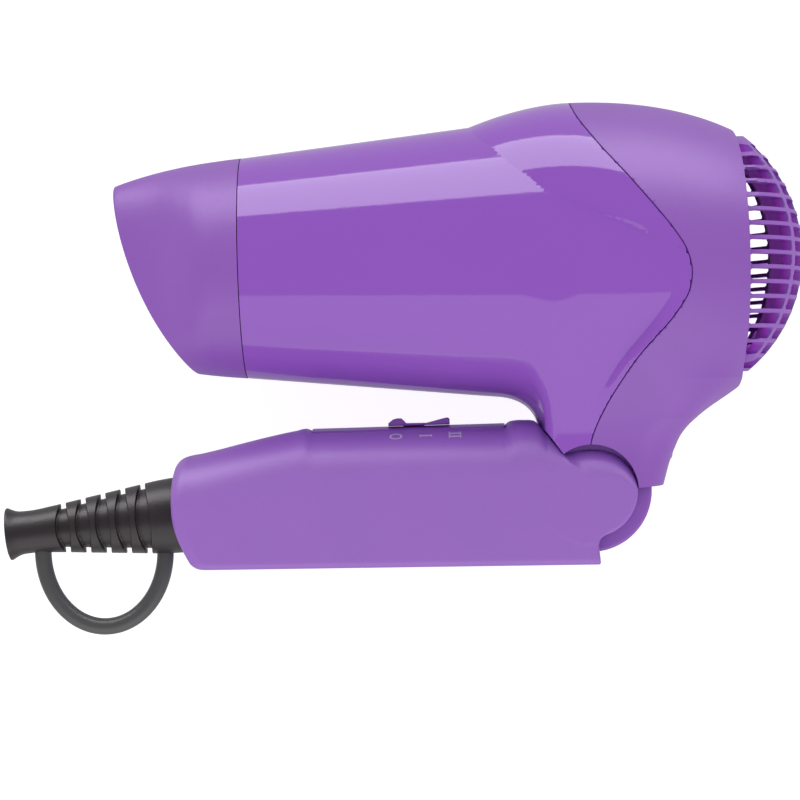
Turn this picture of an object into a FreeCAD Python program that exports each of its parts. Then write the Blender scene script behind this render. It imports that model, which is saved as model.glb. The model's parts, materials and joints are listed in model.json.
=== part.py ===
"""Folding travel hair dryer, modelled as the separate pieces it is assembled from.

Everything is designed in the barrel frame, in millimetres: +X runs along the barrel axis from the
nozzle to the air inlet, +Y points away from the folded handle, +Z is the dryer's left side, and
the origin is on the barrel axis at the fan housing's widest section. The dryer is symmetric about
Z = 0. save() then lays it on its side on the table: the part frame's Z = 0 is the table, and its
X = Y = 0 is the middle of the dryer's box.
"""

import FreeCAD, Part
import math
import os

V = FreeCAD.Vector

# ---------------------------------------------------------------- driving dimensions
WALL = 2.0                  # moulded wall of the casings
GAP = 0.2                   # moulding clearance between neighbouring pieces

BULB_R = 36.4               # fan housing, widest radius
BARREL_MOUTH_X = -77.5      # front edge of the glossy barrel
BARREL_MOUTH_R = 25.75
KINK_X = -24.5              # where the barrel cone flares into the fan housing
KINK_R = 31.3
INLET_RIM_X = 36.8          # rear edge of the rear casing
INLET_RIM_R = 28.95

DOME_X = 18.0               # inlet grille: part of a sphere centred on the axis
DOME_R = 35.0
DOME_WALL = 2.4
SLOT_PITCH = 3.27
SLOT_HEIGHT = 2.4
SLOT_ROWS = 16
SLOT_DROP = 1.1             # the rows sit this far below the axis
GRILLE_BAR_ANGLE = 29.5     # upright bars of the grille, as seen from above
GRILLE_BAR_HALF_ANGLE = 1.6

NOZZLE_TIP_X = -107.5
NOZZLE_TIP_HALF_Z = 9.0     # the mouth is a slot, narrow from side to side
SPIGOT_R = 23.5             # collar on the barrel that the nozzle pushes onto
SPIGOT_FRONT_X = -84.0
NOZZLE_WALL = 1.8

HINGE = V(1.0, -54.0, 0)    # fold axis, parallel to Z
KNUCKLE_R = 14.1
CHEEK_R = 10.4
HALF_WIDTH = 17.5           # neck and handle, side to side
KNUCKLE_HALF = 12.7
CHEEK_INNER = 13.0          # inner face of the handle's cheeks
PIVOT_R = 5.0
PIVOT_BORE_R = 5.06
FOLD_STOP_DEG = 126.0       # radial stop face, handle against neck, when folded
OPEN_STOP_DEG = 2.5         # neck's lower edge, which stops the opened handle
HANDLE_END_DEG = -84.0      # handle's end face, which meets that edge

HANDLE_TOP_Y = -38.7
HANDLE_BOTTOM_Y = -71.9
HANDLE_TAIL_X = -96.8
HANDLE_CORNER_R = 11.0

SLIDER_X = (-45.0, -30.7)   # thumb slider at position 0
SLIDER_TRAVEL = 13.4
SLIDER_HALF_Z = 5.0
BEZEL_X = (-62.8, -17.8)
BEZEL_HALF_Z = 8.0

BOOT_ROOT = V(-92.0, -57.1, 0)
BOOT_TILT_DEG = 4.8         # the cord guard droops a little from the handle
BOOT_LENGTH = 43.6
BOOT_ROOT_R = 9.0
BOOT_TIP_R = 5.0
BOOT_FLARE_R = 5.95
CORD_BORE_R = 3.1

LOOP_CENTRE = V(-112.55, -65.4, 0)
LOOP_HALF_X = 14.35
LOOP_DROP = 17.6
LOOP_WIRE_R = 1.95

MOTOR_R = 13.8
FAN_R = 27.2
DUCT_R = 28.3

TABLE_SHIFT = V(41.27, 24.16, BULB_R + 0.03)


# ---------------------------------------------------------------- helpers
def cylinder(radius, start, end):
    """Solid cylinder between two points."""
    return Part.makeCylinder(radius, (end - start).Length, start, end - start)


def cylinder_x(radius, x0, x1):
    return cylinder(radius, V(x0, 0, 0), V(x1, 0, 0))


def ring_x(outer, inner, x0, x1):
    """Plain ring round the barrel axis."""
    return cylinder_x(outer, x0, x1).cut(cylinder_x(inner, x0 - 1, x1 + 1))


def cylinder_z(radius, centre, z0, z1):
    return cylinder(radius, V(centre.x, centre.y, z0), V(centre.x, centre.y, z1))


def box(low, high):
    size = high - low
    return Part.makeBox(size.x, size.y, size.z, low)


def turned(edges):
    """Solid of revolution round the barrel axis from a closed list of edges above it."""
    face = Part.Face(Part.Wire(Part.__sortEdges__(edges)))
    return face.revolve(V(0, 0, 0), V(1, 0, 0), 360)


def polyline(points):
    return [Part.makeLine(a, b) for a, b in zip(points, points[1:])]


def prism_z(edges, half):
    """Closed outline in the XY plane, extruded to both sides of the middle plane."""
    face = Part.Face(Part.Wire(Part.__sortEdges__(edges)))
    face.translate(V(0, 0, -half))
    return face.extrude(V(0, 0, 2 * half))


def polygon_z(points, half):
    return prism_z(polyline(points + points[:1]), half)


def on_ray(degrees, radius):
    """Point at that angle and distance from the fold axis."""
    a = math.radians(degrees)
    return V(HINGE.x + radius * math.cos(a), HINGE.y + radius * math.sin(a), 0)


def sector(radius, from_deg, to_deg, half):
    """Pie slice round the fold axis, used to clear the handle's swing."""
    slice_ = Part.makeCylinder(radius, 2 * half, V(0, 0, -half), V(0, 0, 1), to_deg - from_deg)
    slice_.rotate(V(0, 0, 0), V(0, 0, 1), from_deg)
    slice_.translate(HINGE)
    return slice_


def rounded_section(y, x_front, x_back, half_z, corner):
    """Closed rounded rectangle in a plane of constant Y, for the neck's loft."""
    xa, xb, za, zb = x_front, x_back, -half_z, half_z
    k = corner * (1 - math.sqrt(0.5))
    corners = [
        (V(xb - corner, y, zb), V(xb - k, y, zb - k), V(xb, y, zb - corner)),
        (V(xb, y, za + corner), V(xb - k, y, za + k), V(xb - corner, y, za)),
        (V(xa + corner, y, za), V(xa + k, y, za + k), V(xa, y, za + corner)),
        (V(xa, y, zb - corner), V(xa + k, y, zb - k), V(xa + corner, y, zb)),
    ]
    edges = []
    for i, (a, b, c) in enumerate(corners):
        edges.append(Part.Arc(a, b, c).toShape())
        edges.append(Part.makeLine(c, corners[(i + 1) % 4][0]))
    return Part.Wire(edges)


def rounded_yz(y0, y1, half_z, corner, x0, x1):
    """Bar along X whose section is a rounded rectangle."""
    bar = box(V(x0, y0, -half_z), V(x1, y1, half_z))
    along = [e for e in bar.Edges if abs(e.tangentAt(e.FirstParameter).x) > 0.9]
    return bar.makeFillet(corner, along)


def tube_route(points, radius):
    """Round lead along straight runs joined by tangent arcs."""
    runs, bends, start = [], [], points[0]
    for before, corner, after in zip(points, points[1:], points[2:]):
        a, b = (before - corner), (after - corner)
        turn = math.pi - a.getAngle(b)
        reach = 0.45 * min(a.Length, b.Length)
        a.normalize()
        b.normalize()
        p, q = corner + a * reach, corner + b * reach
        bisector = (a + b).normalize()
        bend_r = reach / math.tan(turn / 2)
        middle = corner + bisector * (bend_r / math.cos(turn / 2) - bend_r)
        runs.append(Part.LineSegment(start, p).toShape())
        runs.append(Part.Arc(p, middle, q).toShape())
        bends.append(bend_r)
        start = q
    runs.append(Part.LineSegment(start, points[-1]).toShape())
    path = Part.Wire(runs)
    profile = Part.Wire(Part.makeCircle(radius, points[0], points[1] - points[0]))
    return path.makePipeShell([profile], True, True)


def joined(shapes):
    """One solid out of several that touch or overlap."""
    return shapes[0].fuse(shapes[1:]).removeSplitter()


def group(shapes):
    return Part.makeCompound(shapes)


def save(node, shape):
    placed = shape.copy()
    placed.translate(TABLE_SHIFT)
    placed.exportStep(os.path.join("parts", node + ".step"))
    print(node, len(placed.Solids), round(placed.Volume / 1000, 2), "cm3", placed.isValid())


# ---------------------------------------------------------------- casings
def barrel_profile(inset, front_x, rear_x):
    """Barrel cone and fan housing as one turned solid, its radius reduced by inset."""
    mouth = V(BARREL_MOUTH_X, BARREL_MOUTH_R - inset, 0)
    kink = V(KINK_X, KINK_R - inset, 0)
    crown = V(0, BULB_R - inset, 0)
    rim = V(INLET_RIM_X, INLET_RIM_R - inset, 0)
    edges = [
        Part.makeLine(mouth, kink),
        Part.Arc(kink, V(KINK_X / 2, BULB_R - 1.75 - inset, 0), crown).toShape(),
        Part.Arc(crown, V(20, BULB_R - 1.9 - inset, 0), rim).toShape(),
    ]
    edges += polyline([
        rim, V(rear_x, rim.y, 0), V(rear_x, 0, 0), V(front_x, 0, 0), V(front_x, mouth.y, 0), mouth,
    ] if front_x < BARREL_MOUTH_X else [rim, V(rear_x, 0, 0), V(front_x, 0, 0), mouth])
    return turned(edges)


def neck_solid(inset):
    """Neck from inside the fan housing down to the fold axis."""
    side = HALF_WIDTH - (HALF_WIDTH - CHEEK_INNER - 0.1 if inset else 0)
    sections = [
        rounded_section(-24, -20 + inset, 37 - inset, 23.5 - inset, 9),
        rounded_section(-33, -14.5 + inset, 32.5 - inset, 20.5 - inset, 9),
        rounded_section(-38.7, -9.6 + inset, 25.5 - inset, 18.6 - inset, 8),
        rounded_section(-46, -9.2 + inset, 21.3 - inset, side, 7),
        rounded_section(-60, -9.2 + inset, 18.0 - inset, side, 7),
    ]
    return Part.makeLoft(sections, True)


def seam_region():
    """Everything behind the seam between the glossy front casing and the matt rear casing."""
    seam = Part.BSplineCurve()
    seam.interpolate([
        V(-1.0, 37.5, 0), V(2.8, 26, 0), V(10.4, 15.6, 0), V(19.5, 4, 0), V(23.2, -5.6, 0),
        V(19.9, -14.1, 0), V(11.2, -24.1, 0), V(4.1, -35.4, 0), V(0.9, -44, 0),
    ])
    low, high = V(0.9, -44, 0), V(-1.0, 37.5, 0)
    back = [low, V(0.9, -62, 0), V(60, -62, 0), V(60, 45, 0), V(-1.0, 45, 0), high]
    return prism_z([seam.toShape()] + polyline(back), 45)


def casing():
    """Barrel, fan housing and neck as one hollow shell, before it is split at the seam."""
    outside = barrel_profile(0, BARREL_MOUTH_X, INLET_RIM_X).fuse(neck_solid(0))
    inside = barrel_profile(WALL, BARREL_MOUTH_X - 2, INLET_RIM_X + 2).fuse(neck_solid(WALL))
    bulkhead = ring_x(29.5, 21.8, -34, -32.6)
    inlet = cylinder_x(INLET_RIM_R - 1.3, INLET_RIM_X, 60)
    shell = outside.cut(inside).fuse(bulkhead).cut(inlet)
    shell = shell.cut(sector(23.5, FOLD_STOP_DEG - 0.4, 360 + OPEN_STOP_DEG, 30))
    shell = shell.cut(cylinder_z(KNUCKLE_R + GAP, HINGE, -CHEEK_INNER - 0.1, CHEEK_INNER + 0.1))
    for side in (-1, 1):
        z0, z1 = sorted((side * (CHEEK_INNER - 0.5), side * 30))
        shell = shell.cut(cylinder_z(CHEEK_R + 0.35, HINGE, z0, z1))
    return shell


def knuckle():
    """Round block clamped in the neck: the handle's cheeks turn against its ends."""
    block = cylinder_z(KNUCKLE_R, HINGE, -KNUCKLE_HALF, KNUCKLE_HALF)
    tenon = box(V(-5.0, HINGE.y + 4, 0.1 - KNUCKLE_HALF), V(15.0, -36.5, KNUCKLE_HALF - 0.1))
    boss = cylinder(4.0, V(14, -45, 0), V(18.2, -45, 0))
    duct = box(V(-1.5, HINGE.y, -7), V(9.5, -30, 7))
    bore = cylinder_z(PIVOT_BORE_R, HINGE, -20, 20)
    return joined([block, tenon, boss]).cut([duct, bore, neck_screw_shape(0.05)])


def neck_screw_shape(clearance=0.0):
    """Screw through the back of the neck into the knuckle's tenon."""
    head = cylinder(2.6 + clearance, V(30 if clearance else 21.4, -45, 0), V(20.4, -45, 0))
    shank = cylinder(1.3 + clearance, V(20.4, -45, 0), V(10.2, -45, 0))
    return head.fuse(shank)


def inlet_grille():
    """Domed air inlet: level slots between upright bars, with a rim that snaps into the casing."""
    dome = Part.makeSphere(DOME_R, V(DOME_X, 0, 0))
    dome = dome.cut(Part.makeSphere(DOME_R - DOME_WALL, V(DOME_X, 0, 0)))
    dome = dome.common(cylinder_x(INLET_RIM_R - 1.4, INLET_RIM_X + 0.1, 60))
    rim_r = INLET_RIM_R - WALL - 0.15
    rim = ring_x(rim_r, rim_r - 2.2, INLET_RIM_X - 4.5, INLET_RIM_X + 0.6)
    seat = ring_x(INLET_RIM_R - 1.4, rim_r - 2.2, INLET_RIM_X + 0.1, INLET_RIM_X + 0.6)
    rows = []
    for row in range(SLOT_ROWS):
        y = (row - (SLOT_ROWS - 1) / 2) * SLOT_PITCH - SLOT_DROP
        rows.append(box(V(INLET_RIM_X + 0.6, y - SLOT_HEIGHT / 2, -32), V(60, y + SLOT_HEIGHT / 2, 32)))
    bays = []
    edge = 88
    bars = [-edge, -GRILLE_BAR_ANGLE, 0, GRILLE_BAR_ANGLE, edge]
    for a, b in zip(bars, bars[1:]):
        reach = [V(DOME_X, -30, 0)]
        for angle in (a + GRILLE_BAR_HALF_ANGLE, b - GRILLE_BAR_HALF_ANGLE):
            t = math.radians(angle)
            reach.append(V(DOME_X + 60 * math.cos(t), -30, 60 * math.sin(t)))
        face = Part.Face(Part.Wire(polyline(reach + reach[:1])))
        bays.append(face.extrude(V(0, 60, 0)))
    slots = group(rows).common(group(bays))
    stiffener = box(V(40, -23, -0.9), V(53, 23, 0.9)).common(Part.makeSphere(DOME_R - 0.5, V(DOME_X, 0, 0)))
    stiffener = stiffener.cut(cylinder_z(44.5, V(1.1, -1.1, 0), -2, 2))
    return joined([joined([dome, rim, seat]).cut(slots), stiffener])


def outlet_grille():
    """Heat-proof guard at the barrel's mouth, with the collar that carries the nozzle."""
    collar = ring_x(SPIGOT_R, SPIGOT_R - 1.6, SPIGOT_FRONT_X, -68)
    flange = ring_x(BARREL_MOUTH_R - WALL, SPIGOT_R - 1.6, BARREL_MOUTH_X + 0.4, BARREL_MOUTH_X + 2)
    rings = [ring_x(r + 0.7, r - 0.7, -80.5, -78) for r in (5, 10.5, 16)]
    spokes = []
    for i in range(6):
        spoke = box(V(-80.5, 4.6, -0.6), V(-78, SPIGOT_R - 0.8, 0.6))
        spoke.rotate(V(0, 0, 0), V(1, 0, 0), 60 * i)
        spokes.append(spoke)
    return joined([collar, flange] + rings + spokes)


def nozzle():
    """Push-on concentrator: round at the barrel, drawn in to a slanting slot at the mouth."""
    def stage(x, half_y, half_z, inset):
        major, minor = max(half_y, half_z) - inset, min(half_y, half_z) - inset
        if major - minor < 0.01:
            return Part.Wire(Part.makeCircle(major, V(x, 0, 0), V(1, 0, 0)))
        oval = Part.Ellipse(V(x, major, 0), V(x, 0, minor), V(x, 0, 0))
        return Part.Wire(oval.toShape())

    def body(inset):
        stations = [
            (BARREL_MOUTH_X - 0.3, 25.75, 25.7), (-81.3, 25.4, 25.3), (-84.8, 24.95, 24.65),
            (-91, 23.9, 20.4), (-97, 22.6, 15.2), (-103.5, 21.3, 11.4),
            (NOZZLE_TIP_X - 3, 19.4, NOZZLE_TIP_HALF_Z - 0.6),
        ]
        return Part.makeLoft([stage(x, a, b, inset) for x, a, b in stations], True)

    mouth = [
        Part.Arc(V(-108, 26, 0), V(-102.7, -2.6, 0), V(-88.8, -26, 0)).toShape(),
    ] + polyline([
        V(-88.8, -26, 0), V(-88.8, -30, 0), V(-70, -30, 0), V(-70, 30, 0), V(-108, 30, 0), V(-108, 26, 0),
    ])
    shell = body(0).cut(body(NOZZLE_WALL))
    skirt = ring_x(25.6, SPIGOT_R + 0.08, SPIGOT_FRONT_X - 0.2, BARREL_MOUTH_X - 0.3)
    shell = joined([shell, skirt.common(body(0))])
    bore = cylinder_x(SPIGOT_R + 0.08, SPIGOT_FRONT_X - 0.2, -70)
    groove = ring_x(24.5, SPIGOT_R - 1, -81.7, -80.3)
    return shell.cut([bore, groove]).common(prism_z(mouth, 30))


def nozzle_snap_ring():
    """Sprung split ring that rides in the nozzle's groove and grips the collar."""
    ring = ring_x(24.4, SPIGOT_R + 0.06, -81.6, -80.4)
    return ring.cut(box(V(-83, 20, -2.5), V(-79, 26, 2.5)))


# ---------------------------------------------------------------- air path and motor
def fan_stator():
    """Duct with straightening vanes that hold the motor on the axis."""
    duct = ring_x(DUCT_R + 1.3, DUCT_R, -14, 22)
    hub = ring_x(MOTOR_R + 1.5, MOTOR_R + 0.05, -14, 4)
    flanges = [ring_x(31.9, DUCT_R + 0.5, x, x + 1.4) for x in (-14, 20.6)]
    vanes = []
    for i in range(9):
        vane = box(V(-13, MOTOR_R + 1, -0.6), V(3, DUCT_R + 0.5, 0.6))
        vane.rotate(V(-7, 0, 0), V(0, 1, 0), 14)
        vane.rotate(V(0, 0, 0), V(1, 0, 0), 40 * i)
        vanes.append(vane)
    lead_notch = box(V(-20, -40, -7), V(-5, -DUCT_R - 1.3, 7))
    return joined([duct, hub] + flanges + vanes).cut(lead_notch)


def motor_can():
    can = ring_x(MOTOR_R, MOTOR_R - 1.2, -18, 9)
    cap = ring_x(MOTOR_R, 3.0, 7.8, 9)
    boss = ring_x(4.5, 3.0, 9, 10.6)
    return joined([can, cap, boss])


def motor_magnets():
    """Two arc magnets on the inside of the can."""
    ring = ring_x(MOTOR_R - 1.25, MOTOR_R - 3.0, -14, 6)
    halves = [box(V(-15, 2.5, -20), V(8, 20, 20)), box(V(-15, -20, -20), V(8, -2.5, 20))]
    return group([ring.common(half) for half in halves])


def motor_end_cap():
    cap = ring_x(MOTOR_R - 1.25, 3.0, -18, -15.5)
    lugs = [box(V(-21.2, y, -1.2), V(-18, y + 0.5, 1.2)) for y in (8.0, -8.5)]
    return joined([cap] + lugs)


def motor_brushes():
    """Brushes on sprung arms, either side of the commutator."""
    brushes = []
    for side in (-1, 1):
        carbon = box(V(-14.2, 3.5, -1.2), V(-12.0, 5.6, 1.2))
        brush = carbon.fuse(box(V(-15.5, 5.6, -1.2), V(-12.0, 6.1, 1.2)))
        if side < 0:
            brush.rotate(V(0, 0, 0), V(1, 0, 0), 180)
        brushes.append(brush)
    return group(brushes)


def motor_bushes():
    return group([ring_x(2.95, 1.2, 8, 10.5), ring_x(2.95, 1.2, -17.9, -15.6)])


def motor_shaft():
    return cylinder_x(1.15, -19, 19.5)


def armature():
    """Wound rotor with three poles and its commutator, on the motor shaft."""
    core = cylinder_x(4.0, -11, 4)
    poles = []
    for i in range(3):
        neck = box(V(-10, 3.5, -1.6), V(3, 9.5, 1.6))
        shoe = ring_x(10.4, 8.9, -10, 3).common(box(V(-12, 0, -8.2), V(5, 12, 8.2)))
        pole = neck.fuse(shoe)
        pole.rotate(V(0, 0, 0), V(1, 0, 0), 120 * i)
        poles.append(pole)
    commutator = cylinder_x(3.2, -14.8, -11)
    return joined([core, commutator] + poles).cut(cylinder_x(1.16, -30, 30))


def fan_impeller():
    """Axial fan: cup-shaped hub with seven twisted blades."""
    hub = joined([ring_x(15.0, 13.0, 12.2, 20), cylinder_x(14, 18, 20), cylinder_x(3.2, 13, 18)])
    blades = []
    for i in range(7):
        root = Part.Wire(polyline([V(11.4, 14.2, -4.2), V(13.2, 14.2, -5.0), V(20.6, 14.2, 4.2),
                                   V(18.8, 14.2, 5.0), V(11.4, 14.2, -4.2)]))
        tip = Part.Wire(polyline([V(12.2, FAN_R, -8.6), V(13.4, FAN_R, -9.2), V(19.8, FAN_R, 7.6),
                                  V(18.6, FAN_R, 8.2), V(12.2, FAN_R, -8.6)]))
        blade = Part.makeLoft([root, tip], True, True).common(cylinder_x(FAN_R, 8, 24))
        blade.rotate(V(0, 0, 0), V(1, 0, 0), 360 / 7 * i)
        blades.append(blade)
    return joined([hub] + blades).cut(cylinder_x(1.16, 0, 30))


def rectifier_board():
    board = cylinder_x(11.5, -22.6, -21.4)
    return board.cut([box(V(-24, y, -1.4), V(-20, y + 0.7, 1.4)) for y in (7.9, -8.6)])


def rectifier_diodes():
    return group([cylinder(1.3, V(-23.95, y, z), V(-23.95, y + 5, z))
                  for y in (-6.5, 1.5) for z in (-4.2, 4.2)])


def noise_capacitor():
    can = box(V(-26.9, -2.2, -2.0), V(-22.65, 2.2, 2.0))
    along = [e for e in can.Edges if abs(e.tangentAt(e.FirstParameter).x) > 0.9]
    return can.makeFillet(1.2, along)


# ---------------------------------------------------------------- heater
def mica_sleeve():
    return ring_x(21.7, 21.2, -69.5, -28)


def mica_cross():
    """Two slotted mica boards crossed on the axis, notched where the heating coil sits."""
    upright = box(V(-66, -18.2, -0.4), V(-29, 18.2, 0.4))
    level = box(V(-66, -0.4, -18.2), V(-29, 0.4, 18.2))
    ties = [ring_x(21.15, 20.3, x, x + 0.8) for x in (-66, -29.8)]
    legs = [box(V(x, -20.6, -0.4), V(x + 0.8, 20.6, 0.4)) for x in (-66, -29.8)]
    legs += [box(V(x, -0.4, -20.6), V(x + 0.8, 0.4, 20.6)) for x in (-66, -29.8)]
    return joined([upright, level] + ties + legs)


def heater_coils():
    """Turns of the coiled heating wire, as plain rings."""
    return group([Part.makeTorus(19.2, 0.95, V(-62 + 4.3 * i, 0, 0), V(1, 0, 0)) for i in range(8)])


def thermostat():
    """Bimetal cut-out on the heater's upright board."""
    plate = box(V(-44, 6, 0.45), V(-32, 11, 1.6))
    cup = cylinder(2.2, V(-36, 8.5, 1.6), V(-36, 8.5, 3.4))
    return plate.fuse(cup)


def thermal_fuse():
    return cylinder(1.5, V(-60, 9, -2.0), V(-49, 9, -2.0))


def body_wiring():
    """Leads from the hinge up the neck to the heater and the motor's rectifier."""
    leads = []
    for z, end in ((4.0, V(-27.5, -12, 4)), (-4.0, V(-24.9, -9, -4)), (0, V(-27.5, -14, 0))):
        lead = [V(3, -44, z), V(1, -34, z), V(-8, -31.2, z), V(-17, -30.4, z), V(-24.5, -22, z), end]
        leads.append(tube_route(lead, 0.75))
    return group(leads)


# ---------------------------------------------------------------- handle
def handle_outline():
    """Side view of the folded handle, with the round cheek at the fold axis."""
    stop_in = on_ray(FOLD_STOP_DEG, CHEEK_R)
    end_in = on_ray(HANDLE_END_DEG, CHEEK_R)
    end_out = V(on_ray(HANDLE_END_DEG, 18.2).x, HANDLE_BOTTOM_Y, 0)
    shoulder = V(-10.9, -38.1, 0)
    top = [stop_in, on_ray(FOLD_STOP_DEG, 18.2), shoulder, V(-12.9, -37.5, 0), V(-15.9, -37.6, 0),
           V(-17.6, HANDLE_TOP_Y - 0.3, 0), V(-60, HANDLE_TOP_Y, 0), V(-63.4, -38.1, 0), V(-76.4, -40.3, 0),
           V(-87.5, -42.9, 0)]
    cheek = Part.Arc(end_in, on_ray((FOLD_STOP_DEG + HANDLE_END_DEG) / 2, CHEEK_R), stop_in)
    tail_top = Part.Arc(V(-87.5, -42.9, 0), V(-93.8, -45.6, 0), V(-96.2, -49.5, 0))
    tail = Part.Arc(V(-96.2, -49.5, 0), V(-96.4, -58.5, 0), V(-93.6, -66.8, 0))
    bottom = polyline([V(-93.6, -66.8, 0), V(-90.4, -70.1, 0), end_out, end_in])
    return polyline(top) + [cheek.toShape(), tail_top.toShape(), tail.toShape()] + bottom


def handle_cavity():
    """Hollow of the handle, short of the hinge."""
    room = rounded_yz(HANDLE_BOTTOM_Y + WALL, HANDLE_TOP_Y - WALL, HALF_WIDTH - WALL,
                      HANDLE_CORNER_R - WALL, -110, -12)
    side = polygon_z([V(-12, -43, 0), V(-62, -41.5, 0), V(-87.5, -45.6, 0), V(-93.6, -50, 0),
                      V(-94, -58, 0), V(-91, -67, 0), V(-86, -69.9, 0), V(-12, -69.9, 0)], 30)
    return room.common(side).common(tail_rounding(WALL))


def boot_axis(distance):
    """Point on the cord guard's axis, that far from its root."""
    t = math.radians(BOOT_TILT_DEG)
    return BOOT_ROOT + V(-distance * math.cos(t), -distance * math.sin(t), 0)


def screw_places():
    return [V(-85, -65.5, 0), V(-66, -46.0, 0), V(-17.5, -66.0, 0)]


def tail_rounding(inset):
    """Seen from the thumb's side, the handle's tail has round corners."""
    length, corner = 130, 8.0 - inset
    plan = box(V(HANDLE_TAIL_X + inset, -90, -HALF_WIDTH + inset),
               V(HANDLE_TAIL_X + length, -20, HALF_WIDTH - inset))
    upright = [e for e in plan.Edges
               if abs(e.tangentAt(e.FirstParameter).y) > 0.9 and e.CenterOfMass.x < HANDLE_TAIL_X + 5]
    return plan.makeFillet(corner, upright)


def handle_shell():
    """Whole handle casing, before it is split down the middle."""
    outer = prism_z(handle_outline(), 40).common(tail_rounding(0))
    outer = outer.common(rounded_yz(HANDLE_BOTTOM_Y - 0.1, -37.4, HALF_WIDTH, HANDLE_CORNER_R, -110, 20))
    shell = outer.cut(handle_cavity())
    shell = shell.cut(cylinder_z(KNUCKLE_R + GAP, HINGE, -CHEEK_INNER, CHEEK_INNER))
    shell = shell.cut(box(V(-13.5, -66, -9), V(-5, -43, 9)))
    pivots = [cylinder_z(PIVOT_R, HINGE, CHEEK_INNER - 9, CHEEK_INNER + 1),
              cylinder_z(PIVOT_R, HINGE, -CHEEK_INNER - 1, -CHEEK_INNER + 9)]
    posts = [cylinder_z(3.6, p, -16, 16) for p in screw_places()]
    for x in (-53, -25):
        for z0, z1 in ((8.2, 16.0), (-16.0, -8.2)):
            posts.append(box(V(x, -55.4, z0), V(x + 4, -53.45, z1)))
    shell = joined([shell] + pivots + [post.common(outer) for post in posts])
    # The guard's collar sits in a round window through the tail; the leads pass through the pivots.
    shell = shell.cut([cylinder(BOOT_ROOT_R + 0.1, boot_axis(-4), boot_axis(9)),
                       cylinder(BOOT_ROOT_R + 1.5, boot_axis(-2.4), boot_axis(0.6))])
    shell = shell.cut(cylinder_z(3.2, HINGE, -CHEEK_INNER, CHEEK_INNER))
    for x0, x1, half_z, y in ((BEZEL_X[0] - GAP, BEZEL_X[1] + GAP, BEZEL_HALF_Z + GAP, HANDLE_TOP_Y - 0.9),
                              (BEZEL_X[0] + 3, BEZEL_X[1] - 3, BEZEL_HALF_Z - 3, HANDLE_TOP_Y - 6)):
        shell = shell.cut(box(V(x0, y, -half_z), V(x1, -30, half_z)))
    return shell.cut([handle_screw_shape(p, 0.05) for p in screw_places()])


def handle_screw_shape(place, clearance=0.0):
    """Screw put in from the far side, its head sunk in a well."""
    head = cylinder_z(2.5 + clearance, place, -30 if clearance else -13.8, -11.5)
    shank = cylinder_z(1.25 + clearance, place, -11.5, 9.0 + clearance)
    return head.fuse(shank)


def switch_bezel():
    """Crowned trim plate round the thumb switch, with the slot for the slider's stem."""
    x0, x1 = BEZEL_X
    y = HANDLE_TOP_Y - 0.85
    half, top = BEZEL_HALF_Z, y + 0.85
    crown = [Part.Arc(V(0, top, -half), V(0, top + 0.65, 0), V(0, top, half)).toShape()]
    foot = polyline([V(0, top, half), V(0, y, half), V(0, y, -half), V(0, top, -half)])
    plate = Part.Face(Part.Wire(crown + foot))
    plate.translate(V(x0, 0, 0))
    plate = plate.extrude(V(x1 - x0, 0, 0))
    skirt = box(V(x0 + 3.2, y - 3, -BEZEL_HALF_Z + 3.2), V(x1 - 3.2, y + 0.2, BEZEL_HALF_Z - 3.2))
    slot = box(V(-42.2, y - 5, -1.7), V(-35.8 + SLIDER_TRAVEL + 0.8, y + 4, 1.7))
    return joined([plate, skirt]).cut(slot)


def switch_slider():
    """Thumb slider: finger ridge at the front, rising ramp at the back, stem down to the switch."""
    x0, x1 = SLIDER_X
    deck = HANDLE_TOP_Y + 0.75
    outline = polyline([
        V(x0, deck, 0), V(x0, deck + 0.5, 0), V(x0 + 1.2, deck + 1.5, 0), V(x0 + 2.0, deck + 2.1, 0),
        V(x0 + 3.0, deck + 2.1, 0), V(x0 + 3.4, deck + 0.9, 0), V(x0 + 4.2, deck + 0.5, 0),
        V(x0 + 9.0, deck + 0.5, 0), V(x1, deck + 1.8, 0), V(x1, deck, 0), V(x0, deck, 0),
    ])
    thumb = prism_z(outline, SLIDER_HALF_Z)
    stem = box(V(-41.5, -46.5, -1.5), V(-36.5, deck + 0.3, 1.5))
    return joined([thumb, stem])


def switch_module():
    """Slide switch body, open at the top where the slider's stem runs."""
    body = box(V(-50, -52, -6.5), V(-22, -43.5, 6.5))
    channel = box(V(-43, -47.2, -2.0), V(-22.8, -42, 2.0))
    lugs = []
    for x in (-46, -38, -30):
        for z in (-4.5, 3.0):
            lugs.append(box(V(x, -55, z), V(x + 0.6, -51.5, z + 1.5)))
    return joined([body.cut(channel)] + lugs)


def switch_board():
    board = box(V(-54, -53.4, -9), V(-19, -52.0, 9))
    pads = []
    for x in (-46, -38, -30):
        for z in (-4.5, 3.0):
            pads.append(box(V(x - 0.3, -54, z - 0.3), V(x + 0.9, -51, z + 1.8)))
    return board.cut(pads)


def hinge_washers():
    """Thin friction washers between the cheeks and the knuckle."""
    washers = []
    for side in (-1, 1):
        z0, z1 = sorted((side * (KNUCKLE_HALF + 0.03), side * (CHEEK_INNER - 0.02)))
        ring = cylinder_z(9.0, HINGE, z0, z1).cut(cylinder_z(PIVOT_R + 0.1, HINGE, -20, 20))
        washers.append(ring)
    return group(washers)


def handle_wiring():
    """Leads from the cord entry to the switch, and from the switch to the hinge."""
    live = [V(-84, -56.5, 2), V(-72, -57, 2), V(-60, -61, 3.7), V(-45.7, -61.5, 3.7), V(-45.7, -55.05, 3.7)]
    neutral = [V(-84, -56.5, -2), V(-70, -57.5, -2), V(-56, -62, -4), V(-30, -62, -4), V(-14.2, -58, -4)]
    to_motor = [V(-29.7, -55.05, 3.7), V(-29.7, -61, 3.7), V(-22, -61, 3.5), V(-14.2, -56, 3.5)]
    return group([tube_route(p, 0.85) for p in (live, neutral, to_motor)])


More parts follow.
